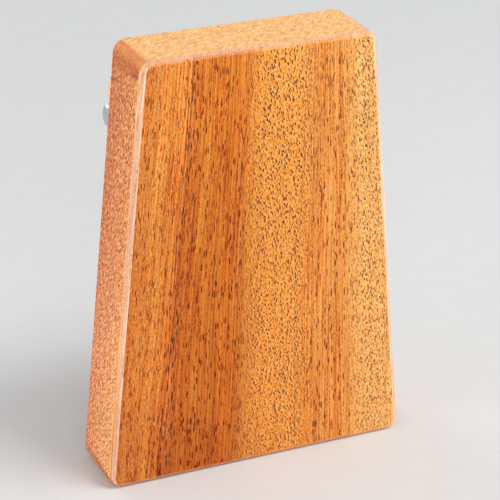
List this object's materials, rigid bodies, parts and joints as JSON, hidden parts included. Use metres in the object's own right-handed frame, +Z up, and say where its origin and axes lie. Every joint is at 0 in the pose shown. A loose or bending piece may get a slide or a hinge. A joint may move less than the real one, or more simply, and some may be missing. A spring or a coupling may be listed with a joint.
{
  "type": "kalimba",
  "caption": "Palm-size kalimba: a solid trapezoid hardwood board with a row of plucked spring-steel tines clamped under a steel bar; each tine slides to tune.",
  "frame": {"origin": "middle of the wide end's flat face, which the instrument stands on", "axes": "+Z up the board to the narrow end, +Y out of the back, -Y out of the playing side, +X to the player's right"},
  "size_m": [0.0794, 0.0325, 0.11],
  "materials": {
    "mahogany": "sanded mahogany, satin clear lacquer",
    "maple": "sanded pale hardwood, thin oil",
    "polished_steel": "turned and polished stainless steel",
    "screw_steel": "nickel-plated steel",
    "spring_steel": "ground spring steel with rounded edges"
  },
  "bodies": {
    "board": {"board": "mahogany", "rear_bridge": "maple", "front_bridge": "maple", "saddle_rod": "polished_steel", "pressure_bar": "polished_steel", "pressure_screws": "screw_steel"},
    "tine_1_shank": {"tine_1_shank": "spring_steel"},
    "tine_1_blade": {"tine_1_blade": "spring_steel"},
    "tine_2_shank": {"tine_2_shank": "spring_steel"},
    "tine_2_blade": {"tine_2_blade": "spring_steel"},
    "tine_3_shank": {"tine_3_shank": "spring_steel"},
    "tine_3_blade": {"tine_3_blade": "spring_steel"},
    "tine_4_shank": {"tine_4_shank": "spring_steel"},
    "tine_4_blade": {"tine_4_blade": "spring_steel"},
    "tine_5_shank": {"tine_5_shank": "spring_steel"},
    "tine_5_blade": {"tine_5_blade": "spring_steel"},
    "tine_6_shank": {"tine_6_shank": "spring_steel"},
    "tine_6_blade": {"tine_6_blade": "spring_steel"},
    "tine_7_shank": {"tine_7_shank": "spring_steel"},
    "tine_7_blade": {"tine_7_blade": "spring_steel"},
    "tine_8_shank": {"tine_8_shank": "spring_steel"},
    "tine_8_blade": {"tine_8_blade": "spring_steel"}
  },
  "joints": [
    {"name": "tune_1", "type": "slide", "parent": "board", "child": "tine_1_shank", "axis": [0, -0.0698, -0.9976], "range_m": [-0.002, 0.002]},
    {"name": "pluck_1", "type": "hinge", "parent": "tine_1_shank", "child": "tine_1_blade", "pos_m": [-0.0217, -0.01669, 0.07273], "axis": [1, 0, 0], "range_deg": [-3, 3], "stiffness_Nm_per_rad": 3.27},
    {"name": "tune_2", "type": "slide", "parent": "board", "child": "tine_2_shank", "axis": [0, -0.0698, -0.9976], "range_m": [-0.002, 0.002]},
    {"name": "pluck_2", "type": "hinge", "parent": "tine_2_shank", "child": "tine_2_blade", "pos_m": [-0.0155, -0.01673, 0.0722], "axis": [1, 0, 0], "range_deg": [-3, 3], "stiffness_Nm_per_rad": 3},
    {"name": "tune_3", "type": "slide", "parent": "board", "child": "tine_3_shank", "axis": [0, -0.0698, -0.9976], "range_m": [-0.002, 0.002]},
    {"name": "pluck_3", "type": "hinge", "parent": "tine_3_shank", "child": "tine_3_blade", "pos_m": [-0.0093, -0.01678, 0.07141], "axis": [1, 0, 0], "range_deg": [-3, 3], "stiffness_Nm_per_rad": 2.67},
    {"name": "tune_4", "type": "slide", "parent": "board", "child": "tine_4_shank", "axis": [0, -0.0698, -0.9976], "range_m": [-0.002, 0.002]},
    {"name": "pluck_4", "type": "hinge", "parent": "tine_4_shank", "child": "tine_4_blade", "pos_m": [-0.0031, -0.01683, 0.07075], "axis": [1, 0, 0], "range_deg": [-3, 3], "stiffness_Nm_per_rad": 2.45},
    {"name": "tune_5", "type": "slide", "parent": "board", "child": "tine_5_shank", "axis": [0, -0.0698, -0.9976], "range_m": [-0.002, 0.002]},
    {"name": "pluck_5", "type": "hinge", "parent": "tine_5_shank", "child": "tine_5_blade", "pos_m": [0.0031, -0.01686, 0.07029], "axis": [1, 0, 0], "range_deg": [-3, 3], "stiffness_Nm_per_rad": 2.31},
    {"name": "tune_6", "type": "slide", "parent": "board", "child": "tine_6_shank", "axis": [0, -0.0698, -0.9976], "range_m": [-0.002, 0.002]},
    {"name": "pluck_6", "type": "hinge", "parent": "tine_6_shank", "child": "tine_6_blade", "pos_m": [0.0093, -0.0168, 0.0712], "axis": [1, 0, 0], "range_deg": [-3, 3], "stiffness_Nm_per_rad": 2.6},
    {"name": "tune_7", "type": "slide", "parent": "board", "child": "tine_7_shank", "axis": [0, -0.0698, -0.9976], "range_m": [-0.002, 0.002]},
    {"name": "pluck_7", "type": "hinge", "parent": "tine_7_shank", "child": "tine_7_blade", "pos_m": [0.0155, -0.01676, 0.07181], "axis": [1, 0, 0], "range_deg": [-3, 3], "stiffness_Nm_per_rad": 2.83},
    {"name": "tune_8", "type": "slide", "parent": "board", "child": "tine_8_shank", "axis": [0, -0.0698, -0.9976], "range_m": [-0.002, 0.002]},
    {"name": "pluck_8", "type": "hinge", "parent": "tine_8_shank", "child": "tine_8_blade", "pos_m": [0.0217, -0.0167, 0.07256], "axis": [1, 0, 0], "range_deg": [-3, 3], "stiffness_Nm_per_rad": 3.18}
  ]
}
